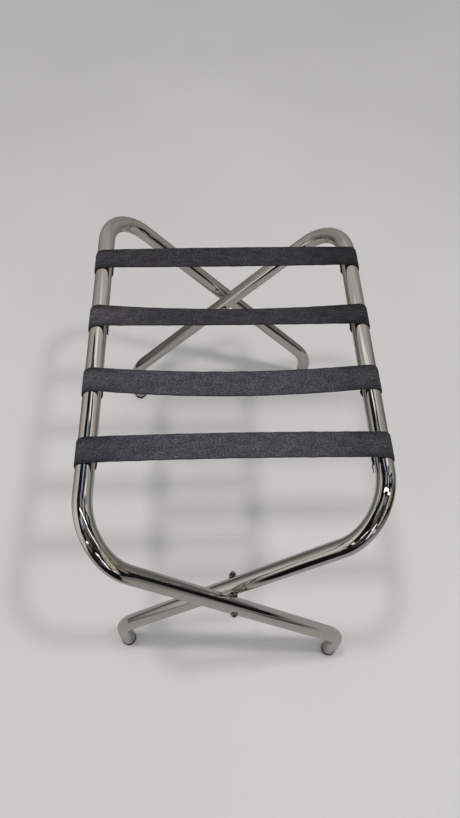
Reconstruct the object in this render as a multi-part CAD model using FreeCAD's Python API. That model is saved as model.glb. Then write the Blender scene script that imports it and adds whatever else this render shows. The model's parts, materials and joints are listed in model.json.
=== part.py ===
"""Folding hotel luggage bench: two bent chrome tube frames that cross like scissors,
two bolted pivots, four webbing straps over the rails and four foot glides.

Millimetres. +Z is up, +X to the right, -Y towards the front. The origin is on the floor,
midway between the feet. The bench stands open; the inner frame folds towards the outer one.
"""
import FreeCAD, Part
import math
import os

Vec = FreeCAD.Vector

# Tube frames. The outer frame's rail is on the left and its feet on the right.
TUBE_D = 25.0
TUBE_WALL = 1.5
RAIL_HALF = 189.0          # rail axis to the bench's middle, along X
FOOT_HALF = 184.0          # foot axis to the bench's middle, along X
RAIL_Z = 518.0             # height of both rail axes
KNEE_Z = 100.0             # height where a leg's axis meets its foot's axis
OUTER_LEG_Y = 299.0        # plane of the outer frame's legs, front and rear
INNER_LEG_Y = 271.0        # plane of the inner frame's legs, inside the outer ones
BEND_R = 80.0              # centreline radius of every bend

# Webbing straps: rear to front, with the middle of each strap at the left and right rail,
# and how far its mid-span hangs below the rails' crests (below zero it is crowned).
STRAP_W = 38.0
STRAP_T = 1.8
STRAP_GAP = 0.3            # between webbing and tube
STRAP_TAIL_DEG = 8.0       # the cut end stops this far below the tube's side
STRAPS = {
    "strap_rear": (167.0, 171.0, 1.5),
    "strap_mid_rear": (56.0, 55.5, 7.0),
    "strap_mid_front": (-54.8, -55.8, 15.0),
    "strap_front": (-162.3, -161.0, -3.0),
}

# Self-tapping screws that hold each strap end under its rail.
SCREW_R = 1.9
SCREW_HOLE_R = 2.0
SCREW_LENGTH = 9.0
SCREW_POINT_H = 2.5
SCREW_TIP_R = 0.4
SCREW_HEAD_R = 3.9
SCREW_HEAD_H = 2.2
SCREW_RIM_H = 0.8          # straight rim below the head's crown
SCREW_SEAT_GAP = 0.3       # under each head, so that a skewed strap clears it
SCREW_DEG = 50.0           # below the tube's inner side
SCREW_PITCH = 20.0         # the two screws of one strap end, along Y
STRAP_HOLE_R = 2.4

# Pivots: an M6 button-head bolt through both legs, front and rear.
BOLT_R = 3.0
BOLT_HEAD_R = 5.4
BOLT_HEAD_H = 3.3
SOCKET_FLATS = 4.0
SOCKET_DEPTH = 2.0
TIGHT_HOLE_R = 3.05        # bore through the outer frame's leg
RUNNING_HOLE_R = 3.08      # bore through the inner frame's leg, which turns on the bolt
SADDLE_R = 5.8
SADDLE_T = 1.2             # thickness on the tube's crest
SADDLE_BLANK = 3.0         # the washer's blank starts this far inside the crest, then is cut to the tube
WASHER_HOLE_R = 3.1
SPACER_R = 6.0
SPACER_T = 2.8
NUT_WASHER_R = 6.0
NUT_WASHER_T = 1.2
RUNNING_GAP = 0.2          # between the inner leg and the washers beside it
NUT_FLATS = 10.0
NUT_HEX_H = 4.6
NUT_DOME_H = 4.2
NUT_DOME_R = 4.6
NUT_CHAMFER_R = 4.85       # the hexagon's corners are chamfered to this at the dome
NUT_BORE_DEPTH = 6.4
BOLT_END_GAP = 0.8         # between the bolt's end and the bottom of the nut's bore

# Foot glides pushed into the tube ends.
GLIDE_R = 13.0
GLIDE_H = 6.0
GLIDE_EDGE = 1.4
GLIDE_CORE_R = 9.6
GLIDE_RIB_R = 10.95
GLIDE_RIB_H = 2.0
GLIDE_FIRST_RIB = 3.0      # above the disc
GLIDE_RIB_STEP = 5.0
GLIDE_RIBS = 3

JOIN_LAP = 0.5             # fused solids share this much
CUT_PAST = 1.0             # cutting solids run this far past the faces that they cut

TUBE_R = TUBE_D / 2.0
BORE_R = TUBE_R - TUBE_WALL
STRAP_IN_R = TUBE_R + STRAP_GAP
STRAP_OUT_R = STRAP_IN_R + STRAP_T
LEG_DROP = RAIL_Z - KNEE_Z
LEG_RUN = RAIL_HALF + FOOT_HALF
PIVOT_Z = RAIL_Z - LEG_DROP * RAIL_HALF / LEG_RUN


def bent_wire(corners, radius):
    """Straight runs through the corner points, joined by tangent arcs of one radius."""
    edges = []
    start = corners[0]
    for before, corner, after in zip(corners, corners[1:], corners[2:]):
        back = (before - corner).normalize()
        ahead = (after - corner).normalize()
        half_turn = back.getAngle(ahead) / 2.0
        reach = radius / math.tan(half_turn)
        middle = (back + ahead).normalize()
        arc_start = corner + back * reach
        arc_end = corner + ahead * reach
        crown = corner + middle * (radius / math.sin(half_turn) - radius)
        edges.append(Part.LineSegment(start, arc_start).toShape())
        edges.append(Part.Arc(arc_start, crown, arc_end).toShape())
        start = arc_end
    edges.append(Part.LineSegment(start, corners[-1]).toShape())
    return Part.Wire(edges)


def swept_rod(path, radius):
    """A round solid rod along a path that starts vertically, at a foot."""
    start = path.Edges[0].Vertexes[0].Point
    section = Part.Wire([Part.Circle(start, Vec(0, 0, 1), radius).toShape()])
    return path.makePipeShell([section], True, True)


def frame_tube(side, leg_y, pivot_hole_r):
    """One open U of bent tube. side is -1 with the rail on the left, +1 on the right."""
    rail_x = side * RAIL_HALF
    foot_x = -side * FOOT_HALF
    corners = [
        Vec(foot_x, leg_y, GLIDE_H),
        Vec(foot_x, leg_y, KNEE_Z),
        Vec(rail_x, leg_y, RAIL_Z),
        Vec(rail_x, -leg_y, RAIL_Z),
        Vec(foot_x, -leg_y, KNEE_Z),
        Vec(foot_x, -leg_y, GLIDE_H),
    ]
    path = bent_wire(corners, BEND_R)
    tube = swept_rod(path, TUBE_R).cut(swept_rod(path, BORE_R))
    pivot_bore = Part.makeCylinder(
        pivot_hole_r, 2 * leg_y + 2 * TUBE_D, Vec(0, -leg_y - TUBE_D, PIVOT_Z), Vec(0, 1, 0))
    tube = tube.cut(pivot_bore)
    screw_bores = [screw_rod(side, y, SCREW_HOLE_R, BORE_R - CUT_PAST, TUBE_R + CUT_PAST)
                   for y in screw_places(side)]
    return tube.cut(screw_bores)


def screw_places(side):
    """The screws' places along one rail: two for each strap."""
    places = []
    for y_left, y_right, _ in STRAPS.values():
        middle = y_left if side < 0 else y_right
        places += [middle - SCREW_PITCH / 2, middle + SCREW_PITCH / 2]
    return places


def screw_axis(side):
    """Outward direction of a strap screw: down and towards the bench's middle."""
    angle = math.radians(SCREW_DEG)
    return Vec(-side * math.cos(angle), 0, -math.sin(angle))


def screw_rod(side, y, radius, near, far):
    """A plain rod on a screw's axis, between two distances from the rail's axis."""
    axis = screw_axis(side)
    start = Vec(side * RAIL_HALF, y, RAIL_Z) + axis * near
    return Part.makeCylinder(radius, far - near, start, axis)


def strap_screw(side, y):
    """A pan-head self-tapping screw, its head just clear of the strap round the rail."""
    crown_h = SCREW_HEAD_H - SCREW_RIM_H
    ball_r = (SCREW_HEAD_R ** 2 + crown_h ** 2) / (2 * crown_h)
    ball = Part.makeSphere(ball_r, Vec(0, 0, SCREW_HEAD_H - ball_r))
    head = Part.makeCylinder(SCREW_HEAD_R, SCREW_HEAD_H).common(ball)
    shank_start = Vec(0, 0, SCREW_POINT_H - SCREW_LENGTH)
    shank = Part.makeCylinder(SCREW_R, SCREW_LENGTH - SCREW_POINT_H + JOIN_LAP, shank_start)
    point = Part.makeCone(SCREW_TIP_R, SCREW_R, SCREW_POINT_H, Vec(0, 0, -SCREW_LENGTH))
    screw = head.fuse([shank, point]).removeSplitter()
    axis = screw_axis(side)
    seat = Vec(side * RAIL_HALF, y, RAIL_Z) + axis * (STRAP_OUT_R + SCREW_SEAT_GAP)
    screw.Placement = FreeCAD.Placement(seat, FreeCAD.Rotation(Vec(0, 0, 1), axis))
    return screw


def rail_point(side, radius, degrees):
    """A point round a rail in the plane Y = 0. 0 degrees faces the bench's middle, 90 is the crest."""
    angle = math.radians(degrees)
    return Vec(side * (RAIL_HALF - radius * math.cos(angle)), 0, RAIL_Z + radius * math.sin(angle))


def strap_profile(sag):
    """Closed outline of a strap: a shallow span that wraps over, round and under both rails."""
    centre_rise = (RAIL_HALF ** 2 - sag ** 2) / (2 * sag)
    leave_deg = math.degrees(math.atan2(abs(centre_rise), math.copysign(RAIL_HALF, sag)))
    tail_deg = 360.0 - STRAP_TAIL_DEG
    middle_deg = (leave_deg + tail_deg) / 2
    edges = []
    for radius in (STRAP_IN_R, STRAP_OUT_R):
        for side in (-1, 1):
            turns = [rail_point(side, radius, angle) for angle in (leave_deg, middle_deg, tail_deg)]
            edges.append(Part.Arc(*turns).toShape())
        span = (rail_point(-1, radius, leave_deg), Vec(0, 0, RAIL_Z + radius - sag),
                rail_point(1, radius, leave_deg))
        edges.append(Part.Arc(*span).toShape())
    for side in (-1, 1):
        edges.append(Part.LineSegment(rail_point(side, STRAP_IN_R, tail_deg),
                                      rail_point(side, STRAP_OUT_R, tail_deg)).toShape())
    return Part.Face(Part.Wire(Part.__sortEdges__(edges)))


def strap(y_left, y_right, sag):
    """One length of webbing, screwed at both ends, slightly askew where its ends differ."""
    middle = (y_left + y_right) / 2
    band = strap_profile(sag).extrude(Vec(0, STRAP_W, 0))
    band.translate(Vec(0, middle - STRAP_W / 2, 0))
    skew = math.degrees(math.atan2(y_right - y_left, 2 * RAIL_HALF))
    band.rotate(Vec(0, middle, 0), Vec(0, 0, 1), skew)
    holes = []
    for side, end in ((-1, y_left), (1, y_right)):
        for y in (end - SCREW_PITCH / 2, end + SCREW_PITCH / 2):
            holes.append(screw_rod(side, y, STRAP_HOLE_R, TUBE_R - CUT_PAST, STRAP_OUT_R + CUT_PAST))
    return band.cut(holes)


def hexagon_prism(flats, y_start, length):
    """A hexagonal prism along Y on the pivot axis, from y_start."""
    reach = flats / math.sqrt(3)
    corners = [Vec(reach * math.cos(math.radians(60 * i)), y_start,
                   PIVOT_Z + reach * math.sin(math.radians(60 * i))) for i in range(7)]
    return Part.Face(Part.makePolygon(corners)).extrude(Vec(0, length, 0))


def on_pivot(radius, y_from, y_to):
    """A disc or rod on the pivot axis, between two places along Y."""
    run = Vec(0, y_to - y_from, 0)
    return Part.makeCylinder(radius, run.Length, Vec(0, y_from, PIVOT_Z), run)


def ring_on_pivot(radius, y_from, y_to):
    """A flat washer or spacer round the bolt, between two places along Y."""
    past = math.copysign(CUT_PAST, y_to - y_from)
    return on_pivot(radius, y_from, y_to).cut(on_pivot(WASHER_HOLE_R, y_from - past, y_to + past))


def dome(radius, height, y_base, outward):
    """A shallow round cap on the pivot axis that rises from y_base along outward."""
    ball_r = (radius ** 2 + height ** 2) / (2 * height)
    centre = Vec(0, y_base + outward * (height - ball_r), PIVOT_Z)
    return Part.makeSphere(ball_r, centre).common(on_pivot(radius, y_base, y_base + outward * height))


def button_bolt(end, head_base, bolt_end):
    """A low domed bolt with a hexagon socket, from its head outside to its end inside."""
    socket_floor = head_base + end * (BOLT_HEAD_H - SOCKET_DEPTH)
    head = dome(BOLT_HEAD_R, BOLT_HEAD_H, head_base, end)
    head = head.cut(hexagon_prism(SOCKET_FLATS, socket_floor, end * SOCKET_DEPTH))
    shank = on_pivot(BOLT_R, head_base + end * JOIN_LAP, bolt_end)
    return head.fuse(shank).removeSplitter()


def saddle_washer(end, crest, head_base):
    """A washer hollowed on one side, so that it sits on the round outer leg."""
    blank = ring_on_pivot(SADDLE_R, crest - end * SADDLE_BLANK, head_base)
    leg_line = Vec(-LEG_RUN, 0, LEG_DROP).normalize()
    reach = 2 * SADDLE_R
    start = Vec(0, end * OUTER_LEG_Y, PIVOT_Z) - leg_line * reach
    return blank.cut(Part.makeCylinder(TUBE_R, 2 * reach, start, leg_line))


def cap_nut(end, seat):
    """A hexagon with a chamfered shoulder and a dome, bored for the bolt from its seat."""
    shoulder = seat - end * NUT_HEX_H
    wide_r = NUT_CHAMFER_R + NUT_HEX_H * math.sqrt(3)
    chamfer_cone = Part.makeCone(NUT_CHAMFER_R, wide_r, NUT_HEX_H, Vec(0, shoulder, PIVOT_Z), Vec(0, end, 0))
    nut = hexagon_prism(NUT_FLATS, seat, -end * NUT_HEX_H).common(chamfer_cone)
    nut = nut.fuse(dome(NUT_DOME_R, NUT_DOME_H, shoulder, -end))
    return nut.cut(on_pivot(BOLT_R, seat + end * CUT_PAST, seat - end * NUT_BORE_DEPTH))


def pivot_parts(end):
    """Bolt, washers, spacer and cap nut of one pivot. end is -1 at the front, +1 at the rear."""
    crest = end * (OUTER_LEG_Y + TUBE_R)
    head_base = crest + end * SADDLE_T
    spacer_start = end * (OUTER_LEG_Y - TUBE_R)
    washer_start = end * (INNER_LEG_Y - TUBE_R - RUNNING_GAP)
    nut_seat = washer_start - end * NUT_WASHER_T
    bolt_end = nut_seat - end * (NUT_BORE_DEPTH - BOLT_END_GAP)
    return {
        "pivot_bolt": button_bolt(end, head_base, bolt_end),
        "saddle_washer": saddle_washer(end, crest, head_base),
        "pivot_spacer": ring_on_pivot(SPACER_R, spacer_start, spacer_start - end * SPACER_T),
        "nut_washer": ring_on_pivot(NUT_WASHER_R, washer_start, nut_seat),
        "cap_nut": cap_nut(end, nut_seat),
    }


def foot_glide(x, y):
    """A moulded foot: a rounded disc under the tube's end and a ribbed plug inside it."""
    inset = GLIDE_EDGE * (1 - math.sqrt(0.5))
    edge_start = Vec(GLIDE_R - GLIDE_EDGE, 0, 0)
    edge_end = Vec(GLIDE_R, 0, GLIDE_EDGE)
    rounded_edge = Part.Arc(edge_start, Vec(GLIDE_R - inset, 0, inset), edge_end)
    outline = [edge_end, Vec(GLIDE_R, 0, GLIDE_H), Vec(GLIDE_CORE_R, 0, GLIDE_H)]
    for rib in range(GLIDE_RIBS):
        z = GLIDE_H + GLIDE_FIRST_RIB + rib * GLIDE_RIB_STEP
        outline += [Vec(GLIDE_CORE_R, 0, z), Vec(GLIDE_RIB_R, 0, z)]
        outline += [Vec(GLIDE_RIB_R, 0, z + GLIDE_RIB_H / 2), Vec(GLIDE_CORE_R, 0, z + GLIDE_RIB_H)]
    outline += [Vec(0, 0, outline[-1].z), Vec(0, 0, 0), edge_start]
    edges = [rounded_edge.toShape()]
    edges += [Part.LineSegment(a, b).toShape() for a, b in zip(outline, outline[1:])]
    glide = Part.Face(Part.Wire(edges)).revolve(Vec(0, 0, 0), Vec(0, 0, 1), 360)
    glide.translate(Vec(x, y, 0))
    return glide


def build():
    """Every sub-part by its node's name."""
    nodes = {
        "outer_frame_tube": frame_tube(-1, OUTER_LEG_Y, TIGHT_HOLE_R),
        "inner_frame_tube": frame_tube(1, INNER_LEG_Y, RUNNING_HOLE_R),
    }
    for end, place in ((-1, "front"), (1, "rear")):
        for name, shape in pivot_parts(end).items():
            nodes[f"{place}_{name}"] = shape
        nodes[f"outer_{place}_glide"] = foot_glide(FOOT_HALF, end * OUTER_LEG_Y)
        nodes[f"inner_{place}_glide"] = foot_glide(-FOOT_HALF, end * INNER_LEG_Y)
    for name, (y_left, y_right, sag) in STRAPS.items():
        nodes[name] = strap(y_left, y_right, sag)
    nodes["outer_rail_screws"] = Part.makeCompound([strap_screw(-1, y) for y in screw_places(-1)])
    nodes["inner_rail_screws"] = Part.makeCompound([strap_screw(1, y) for y in screw_places(1)])
    return nodes


os.makedirs("parts", exist_ok=True)
for node, shape in build().items():
    if not shape.isValid():
        raise ValueError(f"{node} is not a valid shape")
    shape.exportStep(f"parts/{node}.step")
    print(f"{node}: {len(shape.Solids)} solid(s), {shape.Volume:.0f} mm3")
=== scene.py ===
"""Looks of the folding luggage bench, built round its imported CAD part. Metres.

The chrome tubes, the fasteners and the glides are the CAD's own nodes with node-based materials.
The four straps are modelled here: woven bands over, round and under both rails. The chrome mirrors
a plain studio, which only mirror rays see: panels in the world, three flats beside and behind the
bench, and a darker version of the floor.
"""

import bmesh
import bpy
import json
import math
import numpy as np
from mathutils import Matrix, Vector, noise


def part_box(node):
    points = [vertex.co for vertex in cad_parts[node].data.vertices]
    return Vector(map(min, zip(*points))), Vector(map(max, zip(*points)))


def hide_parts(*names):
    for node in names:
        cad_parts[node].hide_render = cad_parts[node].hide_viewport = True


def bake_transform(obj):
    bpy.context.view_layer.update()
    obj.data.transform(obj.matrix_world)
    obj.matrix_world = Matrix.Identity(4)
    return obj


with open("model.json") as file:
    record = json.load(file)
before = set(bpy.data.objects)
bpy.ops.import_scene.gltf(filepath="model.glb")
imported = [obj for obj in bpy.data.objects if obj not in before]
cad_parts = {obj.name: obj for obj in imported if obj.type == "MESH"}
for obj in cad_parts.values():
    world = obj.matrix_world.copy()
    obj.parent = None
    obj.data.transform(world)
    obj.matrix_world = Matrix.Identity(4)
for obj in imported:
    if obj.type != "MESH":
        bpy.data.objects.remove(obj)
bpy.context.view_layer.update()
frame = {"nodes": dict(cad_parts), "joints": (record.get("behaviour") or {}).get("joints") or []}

# The rails and the pivot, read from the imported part, whose tubes have this radius.
TUBE_R = 0.0125
RAIL_X = -(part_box("outer_frame_tube")[0].x + TUBE_R)
RAIL_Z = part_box("outer_frame_tube")[1].z - TUBE_R
FOLD = frame["joints"][0]
PIVOT_Z = FOLD["pos_m"][2]
FOLD_DEG = FOLD["range_deg"][1]

# Webbing. Lengths along the strap are u, across it v.
STRAP_IN_R = TUBE_R + 0.0001
STRAP_T = 0.0017
TAIL_DEG = 8.0                 # the cut ends stop this far below the rails' inner sides
WRAP_RINGS = 40
SPAN_RINGS = 96
ACROSS = 17
SELVEDGE_POWER = 10            # how square the band's long edges are
FRAY = 0.0005                  # how far the long edges wander
FRAY_PER_M = 60
RIPPLE = 0.0004
RIPPLE_PER_M = 14
SCREW_DEG = 50.0               # the screws sit this far below the rails' inner sides
SCREW_PITCH = 0.020
PUCKER_R = 0.006               # the webbing gathers under each screw head
PUCKER_RISE = 0.0004
SHARP_DEG = 60.0               # edges that turn by more than this are shaded sharp
WELD = 1e-6                    # points of a band's parts that are nearer than this become one
# Each strap's rear and front edge (y) at the left rail and at the right rail, and how far its rear
# and front edge hang below the rails' crests at mid-span (below zero it is crowned).
STRAPS = {
    "strap_rear": ((0.1859, 0.1483), (0.1904, 0.1520), (-0.0014, 0.0012)),
    "strap_mid_rear": ((0.0753, 0.0364), (0.0740, 0.0367), (0.0106, 0.0016)),
    "strap_mid_front": ((-0.0357, -0.0739), (-0.0360, -0.0757), (0.0132, 0.0166)),
    "strap_front": ((-0.1435, -0.1810), (-0.1421, -0.1798), (-0.0036, -0.0044)),
}
# Loose threads at the straps' cut ends: points along each, and its radius at its start and end.
THREADS = {
    "strap_front": (
        (((0.1757, -0.1790, 0.5175), (0.1757, -0.1810, 0.5110), (0.1775, -0.1825, 0.5030),
          (0.1799, -0.1818, 0.4990), (0.1806, -0.1830, 0.4960)), 0.0011, 0.0004),
        (((0.1806, -0.1830, 0.4960), (0.1828, -0.1815, 0.4930), (0.1790, -0.1825, 0.4945)),
         0.0004, 0.0003),
        (((0.1771, -0.1790, 0.5227), (0.1771, -0.1860, 0.5230), (0.1773, -0.1920, 0.5236),
          (0.1774, -0.1968, 0.5240)), 0.0004, 0.0006),
    ),
    "strap_mid_rear": (
        (((-0.1763, 0.0400, 0.5120), (-0.1757, 0.0378, 0.5110), (-0.1764, 0.0362, 0.5100)),
         0.0004, 0.0007),
    ),
}
THREAD_STEPS = 14
THREAD_SIDES = 6
THREAD_U = 0.2                 # where the threads lie in the weave's pattern
THREAD_V_SCALE = 0.1
# A strap's span is made in parts that meet at these distances from its middle.
PART_ENDS = (0.030, 0.065, 0.100, 0.132, 0.164)
# When folded, each half of a strap hangs beside the rails' middle plane: a point's distance from
# the strap's middle, and its distance from that plane as seen from the pivot, in degrees.
HANG_DEG = ((0.0, 0.0), (0.030, 1.7), (0.100, 2.0), (0.164, 2.2))


# ---------------------------------------------------------------- helpers

class Nodes:
    """Short calls that build a shader tree. A socket or a plain value may go in anywhere."""

    def __init__(self, tree):
        self.tree = tree
        tree.nodes.clear()

    def put(self, socket, value):
        if isinstance(value, bpy.types.NodeSocket):
            self.tree.links.new(value, socket)
        elif isinstance(value, (tuple, list)) and len(value) == 3 and socket.type == "RGBA":
            socket.default_value = (*value, 1.0)
        else:
            socket.default_value = value

    def node(self, kind, settings=None, **inputs):
        made = self.tree.nodes.new("ShaderNode" + kind)
        for name, value in (settings or {}).items():
            setattr(made, name, value)
        for name, value in inputs.items():
            self.put(made.inputs[name.replace("_", " ")], value)
        return made

    def axes(self, vector):
        return self.node("SeparateXYZ", Vector=vector).outputs

    def math(self, operation, a, b=0.0):
        made = self.tree.nodes.new("ShaderNodeMath")
        made.operation = operation
        self.put(made.inputs[0], a)
        self.put(made.inputs[1], b)
        return made.outputs[0]

    def chain(self, operation, first, *others):
        for other in others:
            first = self.math(operation, first, other)
        return first

    def times(self, *values):
        return self.chain("MULTIPLY", *values)

    def plus(self, *values):
        return self.chain("ADD", *values)

    def highest(self, *values):
        return self.chain("MAXIMUM", *values)

    def minus(self, a, b):
        return self.math("SUBTRACT", a, b)

    def over(self, a, b):
        return self.math("DIVIDE", a, b)

    def ramp(self, value, low, high, at_low=0.0, at_high=1.0):
        """Smooth step of value from low to high."""
        made = self.node("MapRange", {"interpolation_type": "SMOOTHSTEP"}, Value=value,
                         From_Min=low, From_Max=high, To_Min=at_low, To_Max=at_high)
        return made.outputs["Result"]

    def between(self, value, low, high, soft):
        """1 where value lies between low and high, with soft edges."""
        return self.times(self.ramp(value, low - soft, low + soft),
                          self.ramp(value, high - soft, high + soft, 1.0, 0.0))

    def mix(self, factor, a, b, blend="MIX"):
        made = self.tree.nodes.new("ShaderNodeMix")
        made.data_type = "RGBA"
        made.blend_type = blend
        self.put(made.inputs["Factor"], factor)
        self.put(made.inputs["A"], a)
        self.put(made.inputs["B"], b)
        return made.outputs["Result"]

    def tint(self, colour, by):
        return self.mix(1.0, colour, by, "MULTIPLY")

    def shader_mix(self, factor, a, b):
        made = self.node("MixShader", Fac=factor)
        self.put(made.inputs[1], a.outputs[0])
        self.put(made.inputs[2], b.outputs[0])
        return made

    def noise(self, vector, scale, detail=3.0, roughness=0.5):
        made = self.node("TexNoise", Vector=vector, Scale=scale, Detail=detail, Roughness=roughness)
        return made.outputs["Fac"]

    def streaks(self, vector, per_metre, detail=2.0, roughness=0.5, scale=1.0):
        """Noise with its own number of grains per metre along each axis."""
        stretched = self.node("Mapping", Vector=vector, Scale=per_metre).outputs["Vector"]
        return self.noise(stretched, scale, detail, roughness)


def surface_material(name, build):
    """A material whose surface is the shader node that build makes."""
    made = bpy.data.materials.new(name)
    made.use_nodes = True
    nodes = Nodes(made.node_tree)
    output = nodes.node("OutputMaterial")
    nodes.put(output.inputs["Surface"], build(nodes).outputs[0])
    return made


def material(name, build, **fixed):
    """A Principled material: fixed holds its plain sockets, and build adds the node-made ones."""
    def principled(nodes):
        shader = nodes.node("BsdfPrincipled", **fixed)
        for socket, value in build(nodes).items():
            nodes.put(shader.inputs[socket.replace("_", " ")], value)
        return shader
    return surface_material(name, principled)


def object_place(nodes):
    """The point's place in the part, in metres."""
    return nodes.node("TexCoord").outputs["Object"]


def add_object(name, data):
    made = bpy.data.objects.new(name, data)
    bpy.context.scene.collection.objects.link(made)
    return made


def add_mesh(name, vertices, faces, look):
    mesh = bpy.data.meshes.new(name)
    mesh.from_pydata(vertices, [], faces)
    mesh.materials.append(look)
    return add_object(name, mesh)


# ---------------------------------------------------------------- materials

def weathered_and_glinting(nodes, wear_and_glints, colours, roughness, height, strength, distance):
    """Principled inputs of a surface that changes with a share from 0 to 1, with a fine relief.

    Its colours and its roughness are pairs: clean and worn, and on the fasteners and washers a painted
    glint and a painted dark reflection.
    """
    relief = nodes.node("Bump", Strength=strength, Distance=distance, Height=height)
    return {
        "Base_Color": nodes.mix(wear_and_glints, *colours),
        "Roughness": nodes.ramp(wear_and_glints, 0.0, 1.0, *roughness),
        "Normal": relief.outputs["Normal"],
    }


def chrome(colours, roughness, relief):
    """Polished plate with faint waves, dulled by smudges, specks and scratches, and near the floor."""
    def build(nodes):
        place = object_place(nodes)
        smudge = nodes.ramp(nodes.noise(place, 9.0, detail=5.0, roughness=0.6), 0.48, 0.72)
        speck = nodes.ramp(nodes.noise(place, 420.0, detail=2.0), 0.66, 0.74)
        scratch = nodes.ramp(nodes.streaks(place, (900.0, 60.0, 900.0)), 0.62, 0.80)
        low = nodes.ramp(nodes.axes(place)["Z"], 0.03, 0.09, 1.0, 0.0)
        splash = nodes.ramp(nodes.noise(place, 85.0, detail=4.0, roughness=0.6), 0.36, 0.64)
        haze = nodes.highest(nodes.times(smudge, 0.40), nodes.times(scratch, 0.30),
                             nodes.times(speck, 0.7), nodes.times(low, splash))
        wave = nodes.noise(place, 35.0, detail=2.0)
        return weathered_and_glinting(nodes, haze, colours, roughness, wave, strength=0.25, distance=relief)
    return build


def turned_steel(colours, roughness, patch_per_m, bright_to, dark_from):
    """Plated or turned steel in bright and dark patches, which on the fasteners and washers are
    painted glints and painted dark reflections; the patches' size is set per metre.
    """
    def build(nodes):
        place = object_place(nodes)
        grain = nodes.noise(place, 1400.0)
        patches = nodes.noise(place, patch_per_m, detail=4.0, roughness=0.65)
        patches = nodes.ramp(patches, bright_to, dark_from)
        return weathered_and_glinting(nodes, patches, colours, roughness, grain, strength=0.4, distance=0.00004)
    return build


def moulded(colours, roughness, grain_per_m):
    """Moulded plastic: fine spark grain, with dust in patches."""
    def build(nodes):
        place = object_place(nodes)
        grain = nodes.noise(place, grain_per_m, detail=2.0)
        dust = nodes.ramp(nodes.noise(place, 130.0, detail=5.0, roughness=0.7), 0.50, 0.74)
        return weathered_and_glinting(nodes, dust, colours, roughness, grain, strength=0.5, distance=0.00008)
    return build


YARN_DARK = (0.020, 0.016, 0.021)
YARN_LIGHT = (0.071, 0.059, 0.072)
# The front flecks' bluer tint is a painted sheen.
FLECK_FRONT_PAINTED_SHEEN = (0.120, 0.146, 0.163)
FLECK_REAR = (0.131, 0.140, 0.148)


def webbing_shade(nodes, uv, back, rear):
    """Share of its colour that the webbing keeps at a place: painted shade, and blotches and smears in
    its tone.
    """
    lengths = nodes.axes(uv)
    along, across = lengths["X"], nodes.math("ABSOLUTE", lengths["Y"])
    # Painted light and shade: darker to the rear and right. Each strap's left end is painted to its
    # own brightness, and the rear straps' right ends are darker still.
    base = nodes.times(nodes.ramp(back, -0.05, 0.055, 1.0, 0.57),
                       nodes.ramp(along, 0.06, 0.19, 1.0, 0.72))
    left_change = nodes.plus(nodes.ramp(back, -0.15, -0.05, -0.28, -0.02),
                             nodes.ramp(back, -0.03, 0.05, 0.0, 0.74),
                             nodes.ramp(back, 0.08, 0.15, 0.0, -0.63))
    left = nodes.times(nodes.ramp(along, -0.19, -0.08, 1.0, 0.0), left_change)
    right = nodes.times(nodes.ramp(along, 0.06, 0.18), nodes.ramp(back, 0.03, 0.15, 0.0, -0.19))
    blotch = nodes.ramp(nodes.streaks(uv, (340.0, 430.0, 1.0), detail=1.0), 0.34, 0.66, 0.78, 1.22)
    swing = nodes.ramp(nodes.streaks(uv, (55.0, 420.0, 1.0)), 0.34, 0.66, -0.11, 0.11)
    smear = nodes.times(swing, nodes.plus(rear, 1.0))
    # Painted shade: its long edges are darker, and widely so where the strap bends round a rail.
    at_rail = nodes.ramp(nodes.math("ABSOLUTE", along), 0.13, 0.18)
    edge = nodes.highest(nodes.times(nodes.ramp(across, 0.007, 0.019), at_rail, 0.55),
                         nodes.ramp(across, 0.0160, 0.0188, 0.0, 0.45))
    return nodes.times(base, nodes.plus(left, 1.0), nodes.plus(right, 1.0), blotch,
                       nodes.plus(smear, 1.0), nodes.minus(1.0, edge))


def webbing(nodes):
    """Woven webbing, laid out by UV in metres from the strap's middle: dark yarn with pale flecks.

    The flecks are less blue on the rear straps: the front straps' bluer flecks are a painted sheen.
    """
    uv = nodes.node("UVMap", {"uv_map": "UVMap"}).outputs["UV"]
    back = nodes.axes(object_place(nodes))["Y"]
    rear = nodes.ramp(back, -0.02, 0.06)
    brick = nodes.node("TexBrick", {"offset": 0.5, "offset_frequency": 2, "squash": 1.0}, Vector=uv,
                       Color1=(1.0, 1.0, 1.0), Color2=(0.55, 0.55, 0.55), Mortar=(0.0, 0.0, 0.0),
                       Scale=1.0, Mortar_Size=0.00022, Mortar_Smooth=1.0, Bias=0.0,
                       Brick_Width=0.0024, Row_Height=0.00092)
    yarn = brick.outputs["Color"]
    fibre = nodes.streaks(uv, (900.0, 5200.0, 1.0))
    fleck = nodes.ramp(nodes.streaks(uv, (430.0, 640.0, 1.0), roughness=0.6), 0.42, 0.64)
    cluster = nodes.ramp(nodes.streaks(uv, (48.0, 90.0, 1.0), detail=3.0), 0.35, 0.65, 0.35, 1.0)
    knot = nodes.ramp(nodes.streaks(uv, (520.0, 760.0, 1.0), detail=1.0, scale=1.3), 0.30, 0.55)
    body = nodes.mix(nodes.times(fleck, cluster), nodes.mix(knot, YARN_DARK, YARN_LIGHT),
                     nodes.mix(rear, FLECK_FRONT_PAINTED_SHEEN, FLECK_REAR))
    shade = nodes.times(nodes.ramp(yarn, 0.0, 0.8, 0.45, 1.0), webbing_shade(nodes, uv, back, rear))
    height = nodes.plus(nodes.times(yarn, 0.75), nodes.times(fibre, 0.25))
    relief = nodes.node("Bump", Strength=0.9, Distance=0.00035, Height=height)
    return {
        "Base_Color": nodes.tint(body, shade),
        "Roughness": nodes.ramp(fibre, 0.2, 0.8, 0.72, 0.95),
        "Normal": relief.outputs["Normal"],
    }


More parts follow.
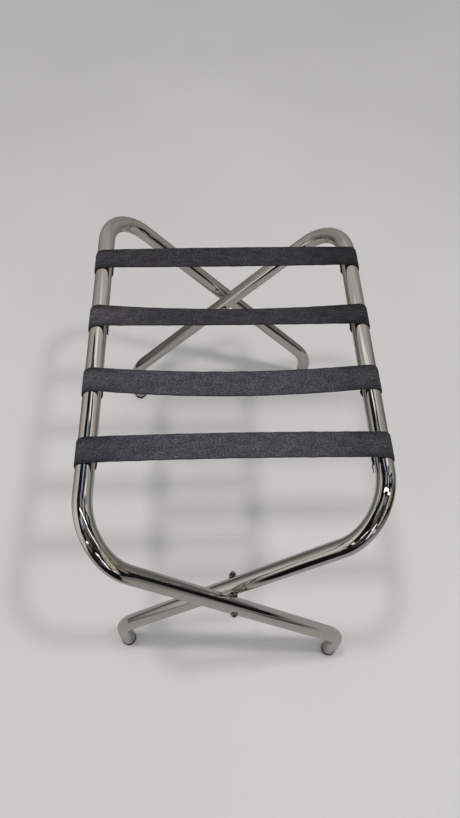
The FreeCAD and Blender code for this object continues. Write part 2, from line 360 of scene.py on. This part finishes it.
# Each look's Principled inputs: those that nodes make, and the plain ones.
LOOKS = {
    "chrome_tube": (
        chrome(((0.78, 0.745, 0.69), (0.60, 0.59, 0.54)), (0.022, 0.15), relief=0.00004),
        {"Metallic": 1.0}),
    # Painted glints and painted dark reflections: the plate's bright and near-black patches.
    "chrome_fastener": (
        turned_steel(((0.92, 0.88, 0.84), (0.055, 0.050, 0.046)), (0.04, 0.30),
                     patch_per_m=300.0, bright_to=0.48, dark_from=0.53),
        {"Metallic": 1.0}),
    # Painted glints and painted dark reflections, as on the fasteners.
    "steel_washer": (
        turned_steel(((0.70, 0.69, 0.66), (0.040, 0.036, 0.032)), (0.08, 0.40),
                     patch_per_m=330.0, bright_to=0.46, dark_from=0.54),
        {"Metallic": 1.0}),
    "steel_screw": (
        turned_steel(((0.42, 0.42, 0.41), (0.16, 0.15, 0.14)), (0.25, 0.55),
                     patch_per_m=260.0, bright_to=0.42, dark_from=0.68),
        {"Metallic": 1.0}),
    "foot_plastic": (
        moulded(((0.008, 0.008, 0.009), (0.030, 0.029, 0.028)), (0.45, 0.80), grain_per_m=1200.0),
        {"Specular_IOR_Level": 0.25}),
    "webbing": (
        webbing,
        {"Sheen_Weight": 0.05, "Sheen_Roughness": 0.4, "Specular_IOR_Level": 0.20}),
}
MATERIALS = {name: material(name, build, **fixed) for name, (build, fixed) in LOOKS.items()}
# The look of each carried-over CAD node, by the end of its name.
NODE_LOOKS = {
    "tube": "chrome_tube", "bolt": "chrome_fastener", "cap_nut": "chrome_fastener",
    "washer": "steel_washer", "spacer": "steel_washer", "screws": "steel_screw",
    "glide": "foot_plastic",
}


def dress_cad_nodes():
    """Every carried-over CAD node gets the material that its name asks for."""
    for name, node in frame["nodes"].items():
        for word, look in NODE_LOOKS.items():
            if name.endswith(word):
                node.data.materials.clear()
                node.data.materials.append(MATERIALS[look])


# ---------------------------------------------------------------- straps

def strap_line(sag):
    """Points (x, z) and outward directions along one strap's inner face, from tail to tail."""
    rise = (RAIL_X ** 2 - sag ** 2) / (2 * abs(sag))
    # Where the span leaves a rail's crest, from the rail's inner side.
    leave = math.atan2(rise, math.copysign(RAIL_X, sag))
    tail = 2 * math.pi - math.radians(TAIL_DEG)
    turns = [tail + (leave - tail) * i / WRAP_RINGS for i in range(WRAP_RINGS)]
    left = [(-RAIL_X + STRAP_IN_R * math.cos(t), RAIL_Z + STRAP_IN_R * math.sin(t),
             math.cos(t), math.sin(t)) for t in turns]
    # The span is an arc, tangent to both wraps, whose centre is above a hanging strap.
    bend = math.copysign(1.0, sag)
    half = bend * (math.pi / 2 - leave)
    radius = math.hypot(RAIL_X, rise) - bend * STRAP_IN_R
    span = []
    for i in range(SPAN_RINGS + 1):
        t = half * (2 * i / SPAN_RINGS - 1)
        z = RAIL_Z + bend * (rise - radius * math.cos(t))
        span.append((radius * math.sin(t), z, -bend * math.sin(t), math.cos(t)))
    right = [(-x, z, -nx, nz) for x, z, nx, nz in reversed(left)]
    return np.array(left + span + right)


def pucker(x, y, z, edges):
    """How far the webbing gathers outwards near a screw."""
    side = math.copysign(1.0, x)
    turn = math.atan2(z - RAIL_Z, side * (RAIL_X * side - x))
    round_way = (turn + math.radians(SCREW_DEG)) * STRAP_IN_R
    middle = (edges[0] + edges[1]) / 2
    near = min(math.hypot(round_way, y - middle - s * SCREW_PITCH / 2) for s in (-1, 1))
    return PUCKER_RISE * math.exp(-(near / PUCKER_R) ** 2 * 2)


def strap_rings(edges_left, edges_right, sags, seed):
    """Rings of points round the band's section, and their UVs, from tail to tail."""
    vs = np.sin(np.linspace(-0.5, 0.5, ACROSS) * math.pi)
    fullness = np.sqrt(1 - np.abs(vs) ** SELVEDGE_POWER)
    lines = [strap_line(sags[1] + (sags[0] - sags[1]) * (v + 1) / 2) for v in vs]
    middle = lines[ACROSS // 2]
    along = np.concatenate([[0], np.cumsum(np.hypot(*np.diff(middle[:, :2], axis=0).T))])
    width = abs(edges_left[0] - edges_left[1])
    rings, uvs = [], []
    for i, u in enumerate(along):
        loose = WRAP_RINGS < i < WRAP_RINGS + SPAN_RINGS
        ease = math.sin(math.pi * (i - WRAP_RINGS) / SPAN_RINGS) if loose else 0.0
        outer, inner = [], []
        for j, v in enumerate(vs):
            x, z, nx, nz = lines[j][i]
            share = (x + RAIL_X) / (2 * RAIL_X)
            rear = edges_left[0] + (edges_right[0] - edges_left[0]) * share
            front = edges_left[1] + (edges_right[1] - edges_left[1]) * share
            fray = noise.noise(Vector((u * FRAY_PER_M, seed, np.sign(v)))) * FRAY * abs(v) ** 3
            y = front + (rear - front) * (v + 1) / 2 + fray
            ripple = noise.noise(Vector((u * RIPPLE_PER_M, v * 0.9, seed + 5.0))) * RIPPLE * ease
            out = np.array([nx, 0, nz])
            heart = np.array([x, y, z]) + out * (STRAP_T / 2 + ripple)
            half_t = out * STRAP_T / 2 * fullness[j]
            outer.append(heart + half_t + out * pucker(x, y, z, edges_left if x < 0 else edges_right))
            inner.append(heart - half_t)
        rings.append(outer + inner[-2:0:-1])
        flat = [(u - along[-1] / 2, v * width / 2) for v in vs]
        uvs.append(flat + flat[-2:0:-1])
    return np.array(rings), np.array(uvs)


def tube_faces(count, points):
    """Faces between rings of points that are counted one ring after the other."""
    faces = []
    for i in range(count - 1):
        here, ahead = i * points, (i + 1) * points
        for j in range(points):
            k = (j + 1) % points
            faces.append([here + j, here + k, ahead + k, ahead + j])
    return faces


def cap_faces(points):
    """Faces across a band's section, between its outer and its inner points."""
    quads = [(j, j + 1, (points - j - 1) % points, (points - j) % points) for j in range(ACROSS - 1)]
    return [list(dict.fromkeys(quad)) for quad in quads]


def woven_mesh(name, rings, faces, uvs):
    """A piece of webbing from its rings of points, faces over them, and each point's UV."""
    made = add_mesh(name, [tuple(p) for ring in rings for p in ring], faces, MATERIALS["webbing"])
    layer = made.data.uv_layers.new(name="UVMap")
    corners = [uvs[v] for face in faces for v in face]
    layer.data.foreach_set("uv", np.array(corners, np.float32).ravel())
    made.data.polygons.foreach_set("use_smooth", [True] * len(faces))
    return made


def band_mesh(name, rings, uvs, capped):
    """A closed-section band from its rings; capped says whether its first and last ring are closed."""
    count, points = rings.shape[:2]
    faces = tube_faces(count, points)
    if capped[0]:
        faces += [face[::-1] for face in cap_faces(points)]
    if capped[1]:
        faces += [[(count - 1) * points + v for v in face] for face in cap_faces(points)]
    return woven_mesh(name, rings, faces, uvs.reshape(-1, 2))


def thread_rings(points, r_start, r_end):
    """Rings of points round a loose thread, which is a smooth curve near the given points."""
    points = np.array(points)
    line = []
    for t in np.linspace(0, 1, THREAD_STEPS):
        near = points
        while len(near) > 1:
            near = near[:-1] + (near[1:] - near[:-1]) * t
        line.append(near[0])
    turns = np.arange(THREAD_SIDES) * 2 * math.pi / THREAD_SIDES
    rings = []
    for i, middle in enumerate(line):
        ahead = line[min(i + 1, len(line) - 1)] - line[max(i - 1, 0)]
        ahead /= np.linalg.norm(ahead)
        side = np.cross(ahead, (0.3, 0.5, 0.8))
        side /= np.linalg.norm(side)
        other = np.cross(ahead, side)
        radius = r_start + (r_end - r_start) * i / (len(line) - 1)
        rings.append([middle + radius * (math.cos(t) * side + math.sin(t) * other) for t in turns])
    return np.array(rings)


def thread_mesh(name, points, r_start, r_end):
    """A loose thread, closed at both ends."""
    rings = thread_rings(points, r_start, r_end)
    start = list(range(THREAD_SIDES))
    end = [(len(rings) - 1) * THREAD_SIDES + v for v in start]
    faces = [start[::-1], end] + tube_faces(len(rings), THREAD_SIDES)
    uvs = [(THREAD_U + z, y * THREAD_V_SCALE) for x, y, z in rings.reshape(-1, 3)]
    return woven_mesh(name, rings, faces, uvs)


def fold_share(x):
    """Share of the fold's turn that the strap follows at x, so that its halves hang clear."""
    if x > 0:
        return 1 - fold_share(-x)
    rail_deg = math.degrees(math.atan2(RAIL_X, RAIL_Z - PIVOT_Z)) - FOLD_DEG / 2
    reach, hang = zip(*HANG_DEG, (RAIL_X, rail_deg))
    from_middle = math.degrees(math.atan2(x, RAIL_Z - PIVOT_Z)) + np.interp(-x, reach, hang)
    return min(max(0.5 + from_middle / FOLD_DEG, 0.0), 1.0)


def unsmooth(share):
    """Where a smooth step from 0 to 1 reaches share."""
    return 0.5 - math.sin(math.asin(1 - 2 * share) / 3)


def join_parts(parts):
    """Joins the parts of one band and welds their shared rings."""
    with bpy.context.temp_override(active_object=parts[0], object=parts[0],
                                   selected_objects=parts, selected_editable_objects=parts):
        bpy.ops.object.join()
    mesh = parts[0].data
    bm = bmesh.new()
    bm.from_mesh(mesh)
    bmesh.ops.remove_doubles(bm, verts=bm.verts, dist=WELD)
    bm.to_mesh(mesh)
    bm.free()
    mesh.set_sharp_from_angle(angle=math.radians(SHARP_DEG))
    return parts[0]


def strap_piece(node, edges_left, edges_right, sags, seed):
    """One strap's detailed band. It is made in parts along its length, which are joined."""
    rings, uvs = strap_rings(edges_left, edges_right, sags, seed)
    middle_x = rings[:, ACROSS // 2, 0]
    span_x = middle_x[WRAP_RINGS:WRAP_RINGS + SPAN_RINGS + 1]
    ends = [*PART_ENDS, RAIL_X]
    stops = [-x for x in reversed(ends)] + ends
    cuts = [WRAP_RINGS + int(np.abs(span_x - x).argmin()) for x in stops]
    cuts = [0] + cuts + [len(rings) - 1]
    parts = []
    for number, (first, last) in enumerate(zip(cuts, cuts[1:])):
        capped = (first == 0, last == len(rings) - 1)
        part = band_mesh(f"{node}_band_{number}", rings[first:last + 1], uvs[first:last + 1], capped)
        if capped[0]:
            start, end = 0.0, RAIL_X
        elif capped[1]:
            start, end = -RAIL_X, 0.0
        else:
            x_a, x_b = middle_x[first], middle_x[last]
            t_a, t_b = unsmooth(fold_share(x_a)), unsmooth(fold_share(x_b))
            reach = (x_b - x_a) / (t_b - t_a)
            start = x_a - t_a * reach
            end = start + reach
        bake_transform(part)
        parts.append(part)
    for number, (points, r_start, r_end) in enumerate(THREADS.get(node, ())):
        part = thread_mesh(f"{node}_thread_{number}", points, r_start, r_end)
        on_right = points[0][0] > 0
        start, end = (-RAIL_X, 0.0) if on_right else (0.0, RAIL_X)
        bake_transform(part)
        parts.append(part)
    band = join_parts(parts)
    band.name = f"{node}_band"
    band.data.name = band.name
    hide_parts(node)


# ---------------------------------------------------------------- floor and lamps

FLOOR_HALF = 7.0
FLOOR_TONES = ((0.612, 0.604, 0.604), (0.655, 0.646, 0.646))
FLOOR_MARK = (0.53, 0.52, 0.52)
# A painted dark reflection, at this place on the floor.
PAINTED_DARK_SPOT = (0.98, -0.60, 0.0)    # a dark spot on the floor, seen by mirror rays alone
CEILING_Z = 2.77
LAMPS = {"lamp_right": (0.75, -0.47), "lamp_left": (-0.42, -0.2)}
# About how bright a white floor at the bench is from one lamp alone. The two lamps and WORLD_LEVEL
# add up to 1, so that a colour renders about as it is written.
LAMP_LEVEL = 0.225
LAMP_COLOUR = (1.0, 0.99, 0.97)
LAMP_R = 0.11


def mirrored_floor(nodes, place):
    """Share of the floor's tone that mirror rays see, least in front and on the right: a painted
    darkening of the mirrored floor, with painted dark reflections.
    """
    way = nodes.axes(place)
    x, y = way["X"], way["Y"]
    away = nodes.node("VectorMath", {"operation": "LENGTH"}, Vector=place).outputs["Value"]
    # Painted dark reflection in front: a wedge that widens away from the bench.
    behind = nodes.minus(y, nodes.times(x, 0.6))
    beside = nodes.plus(x, nodes.times(nodes.math("MINIMUM", nodes.plus(y, 1.0), 0.0), 0.5))
    front = nodes.times(nodes.ramp(behind, -0.69, -0.60, 1.0, 0.0),
                        nodes.ramp(beside, -0.12, -0.02, 1.0, 0.0))
    # Painted dark reflection on the right: a sector and a spot near it.
    slope = nodes.over(y, nodes.highest(x, 0.1))
    sector = nodes.times(nodes.ramp(slope, -0.66, -0.38), nodes.ramp(slope, 0.02, 0.15, 1.0, 0.0))
    side = nodes.times(nodes.ramp(x, 0.9, 1.65), sector)
    spot = nodes.node("VectorMath", {"operation": "DISTANCE"}, Vector=place)
    spot.inputs[1].default_value = PAINTED_DARK_SPOT
    spot = nodes.ramp(spot.outputs["Value"], 0.12, 0.38, 0.80, 0.0)
    painted_dark = nodes.times(nodes.highest(front, side, spot), nodes.ramp(away, 1.3, 2.2, -0.98, -0.95))
    level = nodes.plus(nodes.ramp(away, 0.15, 0.55, 0.585, 0.515),
                       nodes.ramp(away, 0.8, 2.4, 0.0, -0.14))
    return nodes.times(level, nodes.plus(painted_dark, 1.0))


def pale_floor(nodes):
    """Pale smooth floor with faint marks. Mirror rays see it darker: painted dark reflections."""
    place = object_place(nodes)
    speck = nodes.ramp(nodes.noise(place, 140.0), 0.60, 0.72)
    broad = nodes.ramp(nodes.noise(place, 1.3), 0.3, 0.7)
    tone = nodes.mix(nodes.times(speck, 0.25), nodes.mix(broad, *FLOOR_TONES), FLOOR_MARK)
    mirrored = nodes.tint(tone, mirrored_floor(nodes, place))
    return {
        "Base_Color": nodes.mix(nodes.node("LightPath").outputs["Is Glossy Ray"], tone, mirrored),
        "Roughness": nodes.ramp(speck, 0.0, 1.0, 0.62, 0.75),
    }


def make_floor():
    look = material("floor", pale_floor, Specular_IOR_Level=0.0)
    signs = ((-1, -1), (1, -1), (1, 1), (-1, 1))
    corners = [(sx * FLOOR_HALF, sy * FLOOR_HALF, 0.0) for sx, sy in signs]
    floor = add_mesh("floor", corners, [(0, 1, 2, 3)], look)


def make_lamps():
    """Two small soft lamps overhead. Mirror rays see the world's panels instead of them."""
    for name, (x, y) in LAMPS.items():
        data = bpy.data.lights.new(name, "AREA")
        data.shape = "DISK"
        data.size = 2 * LAMP_R
        data.energy = LAMP_LEVEL * math.pi ** 2 * (CEILING_Z ** 2 + x ** 2 + y ** 2)
        data.color = LAMP_COLOUR
        lamp = add_object(name, data)
        lamp.location = (x, y, CEILING_Z)
        lamp.visible_glossy = False


# ---------------------------------------------------------------- the studio that mirror rays see

# Overhead it is in the world, where a direction is a point (a, b) of a disc: the zenith is its
# middle, the horizon its rim at 1, a is to the right and b to the rear.
# Each panel: middle, turn in degrees, half width and height, softness of its edges, and brightness.
PANELS = {
    "flag_left": ((-0.46, 0.06), 0, (0.21, 0.46), 0.03, (0.006, 0.006, 0.006)),
    "flag_front": ((0.12, -0.39), 0, (0.22, 0.13), 0.04, (0.030, 0.029, 0.029)),
    "blue_rear": ((0.01, 0.34), 0, (0.15, 0.09), 0.02, (0.19, 0.20, 0.23)),
    "grey_left": ((-0.24, -0.19), 18, (0.15, 0.10), 0.03, (0.20, 0.22, 0.26)),
    "grey_right": ((0.10, -0.21), -15, (0.18, 0.06), 0.03, (0.17, 0.17, 0.20)),
    "brown_front": ((-0.17, -0.44), 0, (0.13, 0.13), 0.05, (0.12, 0.10, 0.075)),
    "beige_right": ((0.54, -0.41), -14, (0.13, 0.35), 0.03, (0.38, 0.35, 0.30)),
    "low_left": ((-0.40, -0.68), 0, (0.14, 0.08), 0.03, (0.15, 0.145, 0.14)),
    "low_front": ((-0.20, -0.82), 0, (0.20, 0.14), 0.04, (0.022, 0.021, 0.025)),
    "violet_front": ((-0.14, -0.93), 0, (0.11, 0.06), 0.03, (0.085, 0.08, 0.15)),
    "window_left": ((0.13, -0.82), 0, (0.085, 0.12), 0.025, (1.0, 1.0, 1.1)),
    "window_right": ((0.42, -0.84), 8, (0.08, 0.045), 0.025, (0.95, 0.95, 1.05)),
}
SLATS = {
    "slats_left": ((-0.61, 0.19), 0, (0.08, 0.11), 0.02, (0.42, 0.40, 0.35)),
    "slats_rear": ((-0.06, 0.14), 0, (0.17, 0.09), 0.02, (0.40, 0.45, 0.52)),
    "slats_right": ((0.36, 0.17), 0, (0.25, 0.14), 0.02, (0.38, 0.38, 0.41)),
}
STRIPS = {
    "strip_left": ((-0.10, -0.008), -12, (0.14, 0.023), 0.008, (2.4, 2.5, 2.7)),
    "strip_middle": ((0.16, -0.068), -12, (0.11, 0.022), 0.008, (2.4, 2.5, 2.7)),
    "strip_right": ((0.39, -0.150), -6, (0.16, 0.020), 0.008, (1.9, 1.9, 2.1)),
    "streak_bend": ((0.18, 0.09), 84, (0.15, 0.016), 0.012, (0.85, 0.87, 0.95)),
    "lamp_front": ((-0.38, -0.545), 4, (0.09, 0.020), 0.010, (2.0, 2.0, 1.9)),
    "gleam_front": ((0.06, -0.65), 10, (0.10, 0.030), 0.012, (1.6, 1.6, 1.6)),
    "streak_high": ((-0.62, -0.52), -57, (0.13, 0.018), 0.008, (0.95, 0.92, 0.85)),
    "streak_front": ((-0.19, -0.14), 70, (0.10, 0.026), 0.012, (0.70, 0.72, 0.80)),
    "streak_low": ((-0.71, -0.60), -55, (0.12, 0.010), 0.008, (0.36, 0.34, 0.30)),
}
# The slats fan out to the rear: each keeps to one value of a / (FAN_SPREAD * b + FAN_WIDTH), and
# SLAT_STEP is from one to the next.
FAN_SPREAD = 0.7
FAN_WIDTH = 0.93
SLAT_STEP = 0.052
# Broad pale and dark bands lie over them: one of the pale ones is at a = BAND_AT, and the next one
# is BAND_STEP away.
BAND_AT = 0.19
BAND_STEP = 0.26
ROOM_DARK = (0.007, 0.008, 0.010)
ROOM_WALL = (0.46, 0.44, 0.41)
ROOM_BROWN = (0.16, 0.15, 0.13)


def panel_mask(nodes, a, b, middle, turn, half, soft):
    """1 inside a turned rectangle with soft edges."""
    da, db = nodes.minus(a, middle[0]), nodes.minus(b, middle[1])
    c, s = math.cos(math.radians(turn)), math.sin(math.radians(turn))
    p = nodes.plus(nodes.times(da, c), nodes.times(db, s))
    q = nodes.minus(nodes.times(db, c), nodes.times(da, s))
    return nodes.times(nodes.between(p, -half[0], half[0], soft),
                       nodes.between(q, -half[1], half[1], soft))


def with_panels(nodes, ground, panels, a, b, share=None):
    """The ground's colour with panels laid on it in order. It shows through where share is 0."""
    for middle, turn, half, soft, colour in panels.values():
        mask = panel_mask(nodes, a, b, middle, turn, half, soft)
        if share is not None:
            mask = nodes.times(mask, share)
        ground = nodes.mix(mask, ground, colour)
    return ground


def with_slats(nodes, room, a, b):
    """The room with its fan of slats, some of them dim, and the broad bands over them."""
    fan = nodes.over(a, nodes.plus(nodes.times(b, FAN_SPREAD), FAN_WIDTH))
    fan_place = nodes.node("CombineXYZ", X=fan).outputs["Vector"]
    some = nodes.ramp(nodes.noise(fan_place, 17.0, detail=1.0), 0.35, 0.6, 0.35, 1.0)
    slat = nodes.ramp(nodes.math("SINE", nodes.times(fan, 2 * math.pi / SLAT_STEP)), -0.3, 0.3)
    room = with_panels(nodes, room, SLATS, a, b, nodes.times(slat, some))
    bands = nodes.math("COSINE", nodes.times(nodes.minus(a, BAND_AT), 2 * math.pi / BAND_STEP))
    bands = nodes.ramp(bands, -0.8, 0.8, 0.15, 2.1)
    return nodes.tint(room, nodes.mix(nodes.between(b, 0.03, 0.30, 0.03), (1.0, 1.0, 1.0), bands))


def mirrored_room(nodes):
    """Colour of the studio in a direction."""
    way = nodes.axes(nodes.node("TexCoord").outputs["Generated"])
    from_zenith = nodes.over(nodes.math("ARCCOSINE", way["Z"]), math.pi / 2)
    level = nodes.minus(1.0, nodes.times(way["Z"], way["Z"]))
    scale = nodes.over(from_zenith, nodes.math("SQRT", nodes.highest(level, 1e-6)))
    a, b = nodes.times(way["X"], scale), nodes.times(way["Y"], scale)
    disc = nodes.node("CombineXYZ", X=a, Y=b).outputs["Vector"]
    mottle = nodes.noise(disc, 22.0, detail=4.0, roughness=0.65)
    mottle = nodes.ramp(mottle, 0.38, 0.62, 0.25, 1.8)
    room = nodes.tint(with_panels(nodes, ROOM_DARK, PANELS, a, b), mottle)
    room = with_slats(nodes, room, a, b)
    room = with_panels(nodes, room, STRIPS, a, b)
    # Round it: brown low on the right, black at the horizon there, and pale from rear to left.
    brown = nodes.times(nodes.ramp(a, 0.66, 0.72), nodes.ramp(b, -0.45, -0.30))
    room = nodes.mix(brown, room, nodes.tint(ROOM_BROWN, mottle))
    rim_right = nodes.times(nodes.ramp(from_zenith, 0.90, 0.96), nodes.ramp(a, 0.50, 0.60))
    room = nodes.mix(rim_right, room, ROOM_DARK)
    rear = nodes.ramp(b, 0.44, 0.50)
    left = nodes.times(nodes.ramp(a, -0.78, -0.72, 1.0, 0.0), nodes.ramp(b, -0.80, -0.60))
    right = nodes.times(nodes.ramp(a, 0.62, 0.70), nodes.ramp(b, 0.08, 0.16))
    wall = nodes.tint(ROOM_WALL, nodes.ramp(from_zenith, 0.72, 1.0, 1.0, 0.60))
    return nodes.mix(nodes.highest(rear, left, right), room, wall)


FLAT_TINT = (1.0, 0.969, 0.94)
HIGH_DARK = (0.0095, 0.0115, 0.014)
# The hanging flat's panels, like the studio's but placed by distance from the corner and height.
HIGH_PANELS = {
    "brown": ((-0.22, 1.43), 0, (0.34, 0.06), 0.03, (0.060, 0.052, 0.042)),
    "column": ((0.10, 2.22), 0, (0.20, 0.46), 0.06, (0.34, 0.385, 0.47)),
    "column_foot": ((0.22, 1.74), 0, (0.17, 0.11), 0.04, (0.25, 0.28, 0.32)),
    "teal": ((0.60, 1.66), 0, (0.17, 0.20), 0.05, (0.040, 0.055, 0.075)),
    "column_near": ((0.92, 2.10), 0, (0.12, 0.35), 0.04, (0.25, 0.28, 0.30)),
    "column_far": ((1.20, 1.95), 0, (0.12, 0.55), 0.04, (0.125, 0.14, 0.16)),
    "block": ((1.46, 1.58), 0, (0.13, 0.50), 0.05, (0.55, 0.52, 0.53)),
    "pale_near": ((0.80, 1.36), 0, (0.12, 0.17), 0.05, (0.56, 0.57, 0.54)),
    "grey_far": ((1.16, 1.33), 0, (0.20, 0.20), 0.04, (0.30, 0.28, 0.28)),
    "white_far": ((0.95, 1.61), 14, (0.12, 0.25), 0.03, (0.85, 0.81, 0.83)),
    "white": ((0.29, 1.52), -35, (0.145, 0.095), 0.03, (1.05, 1.00, 1.02)),
}


def rear_flat(nodes, along, up):
    """Pale, darker low down and to the right, with a painted highlight and above it a painted glow
    near its top.
    """
    base = nodes.times(nodes.ramp(up, 0.05, 1.0, 0.19, 0.44), nodes.ramp(along, 1.2, 2.1, 1.0, 0.73),
                       nodes.ramp(along, 0.78, 1.05, 1.0, 0.76), nodes.ramp(up, 0.45, 0.85, 0.82, 1.0))
    painted_highlight = nodes.times(nodes.between(up, 0.99, 1.12, 0.04), nodes.between(along, -0.05, 0.40, 0.06))
    glow = nodes.times(nodes.between(up, 1.13, 1.37, 0.07), nodes.between(along, 0.08, 0.95, 0.10))
    return nodes.tint(FLAT_TINT, nodes.plus(base, nodes.times(painted_highlight, 0.26), nodes.times(glow, 0.34)))


def left_flat(nodes, along, up):
    """Pale, with a painted shadow: dark at its foot and low down near the corner."""
    low = nodes.times(nodes.ramp(along, 0.48, 1.05, 0.12, 0.54), nodes.ramp(up, 0.03, 0.19, 0.28, 1.0))
    high = nodes.ramp(along, 0.35, 0.95, 0.40, 0.60)
    share = nodes.ramp(up, 0.30, 0.70)
    level = nodes.plus(nodes.times(low, nodes.minus(1.0, share)), nodes.times(high, share))
    return nodes.tint(FLAT_TINT, level)


def high_flat(nodes, along, up):
    """Dark, with pale and bluish panels."""
    return with_panels(nodes, HIGH_DARK, HIGH_PANELS, along, up)


def standing(*tops):
    """A flat's outline from its tops, with its foot on the floor."""
    return [(along, 0.0, top) for along, top in tops]


# Beside the bench the studio has two pale flats that stand on the floor and meet in a corner, and a
# hanging one above the rear one. Each: its paint, its end, how far it is set back, and the height of
# its foot and its top at distances from the corner.
FLAT_CORNER = (-0.330, 0.610)
REAR_END = (0.580, 0.340)
LEFT_END = (-0.490, 0.170)
FLATS = {
    "flat_rear": (rear_flat, REAR_END, 0.0, standing(
        (0.0, 1.38), (0.20, 1.375), (0.32, 1.33), (0.62, 1.23),
        (0.80, 1.26), (1.10, 1.20), (1.50, 1.15), (2.3, 1.0))),
    "flat_left": (left_flat, LEFT_END, 0.0, standing(
        (0.0, 1.36), (0.10, 1.18), (0.20, 0.99), (0.26, 0.90), (0.29, 0.87),
        (0.35, 0.87), (0.45, 0.94), (0.50, 0.88), (1.1, 0.87), (1.5, 0.62))),
    "flat_high": (high_flat, REAR_END, 0.01, [
        (-0.9, 1.37, 2.65), (0.20, 1.35, 2.65), (0.40, 1.25, 2.65), (0.65, 1.15, 2.65),
        (1.75, 1.05, 2.65)]),
}


def flat_material(name, paint):
    """Paint that glows by itself, slightly cloudy."""
    def glow(nodes):
        place = object_place(nodes)
        way = nodes.axes(place)
        cloud = nodes.streaks(place, (2.5, 1.0, 7.0), detail=4.0)
        cloud = nodes.ramp(cloud, 0.3, 0.7, 0.80, 1.15)
        colour = nodes.tint(paint(nodes, way["X"], way["Z"]), cloud)
        return nodes.node("Emission", Color=colour, Strength=1.0)
    return surface_material(name, glow)


def make_flats():
    """Flats beside the bench. Only mirror rays see them."""
    for name, (paint, end, back, outline) in FLATS.items():
        corners = [(along, back, z) for along, foot, top in outline for z in (foot, top)]
        faces = [(2 * i, 2 * i + 2, 2 * i + 3, 2 * i + 1) for i in range(len(outline) - 1)]
        flat = add_mesh(name, corners, faces, flat_material(name, paint))
        flat.location = (*FLAT_CORNER, 0.0)
        flat.rotation_euler.z = math.atan2(end[1] - FLAT_CORNER[1], end[0] - FLAT_CORNER[0])
        flat.visible_camera = False
        flat.visible_diffuse = False
        flat.visible_shadow = False


# ---------------------------------------------------------------- world and camera

BACKGROUND = (0.55, 0.54, 0.54)
WORLD_LEVEL = 0.55
# The camera was fitted to the photograph together with the part's sizes.
CAMERA_PLACE = (-0.037984, -0.555558, 1.252758)
CAMERA_YAW = 4.1539           # degrees to the right of +Y
CAMERA_PITCH = 57.9554        # degrees down
CAMERA_ROLL = 2.7611          # degrees
FOCAL_PX = 650.97
IMAGE_HEIGHT_PX = 818
SENSOR_MM = 36.0


def make_world():
    """Plain pale light for everything but mirror rays, which see the studio."""
    world = bpy.data.worlds.new("studio")
    world.use_nodes = True
    bpy.context.scene.world = world
    nodes = Nodes(world.node_tree)
    plain = nodes.node("Background", Color=(1.0, 1.0, 1.0), Strength=WORLD_LEVEL)
    seen = nodes.node("Background", Color=BACKGROUND, Strength=1.0)
    mirrored = nodes.node("Background", Color=mirrored_room(nodes), Strength=1.0)
    path = nodes.node("LightPath").outputs
    mirror = nodes.highest(path["Is Glossy Ray"], path["Is Transmission Ray"])
    lit = nodes.shader_mix(mirror, plain, mirrored)
    output = nodes.node("OutputWorld")
    nodes.put(output.inputs["Surface"], nodes.shader_mix(path["Is Camera Ray"], lit, seen).outputs[0])


def make_camera():
    yaw, pitch, roll = (math.radians(a) for a in (CAMERA_YAW, CAMERA_PITCH, CAMERA_ROLL))
    forward = Vector((math.sin(yaw) * math.cos(pitch), math.cos(yaw) * math.cos(pitch),
                      -math.sin(pitch)))
    level = Vector((math.cos(yaw), -math.sin(yaw), 0.0))
    above = level.cross(forward)
    right = math.cos(roll) * level + math.sin(roll) * above
    up = math.cos(roll) * above - math.sin(roll) * level
    turn = Matrix((right, up, -forward)).transposed().to_4x4()
    data = bpy.data.cameras.new("camera")
    data.sensor_width = SENSOR_MM
    data.lens = FOCAL_PX / IMAGE_HEIGHT_PX * SENSOR_MM
    camera = add_object("camera", data)
    camera.matrix_world = Matrix.Translation(CAMERA_PLACE) @ turn
    bpy.context.scene.camera = camera


dress_cad_nodes()
for seed, (node, shape) in enumerate(STRAPS.items()):
    strap_piece(node, *shape, seed)
make_floor()
make_flats()
make_lamps()
make_world()
make_camera()
bpy.context.scene.view_settings.view_transform = "Standard"
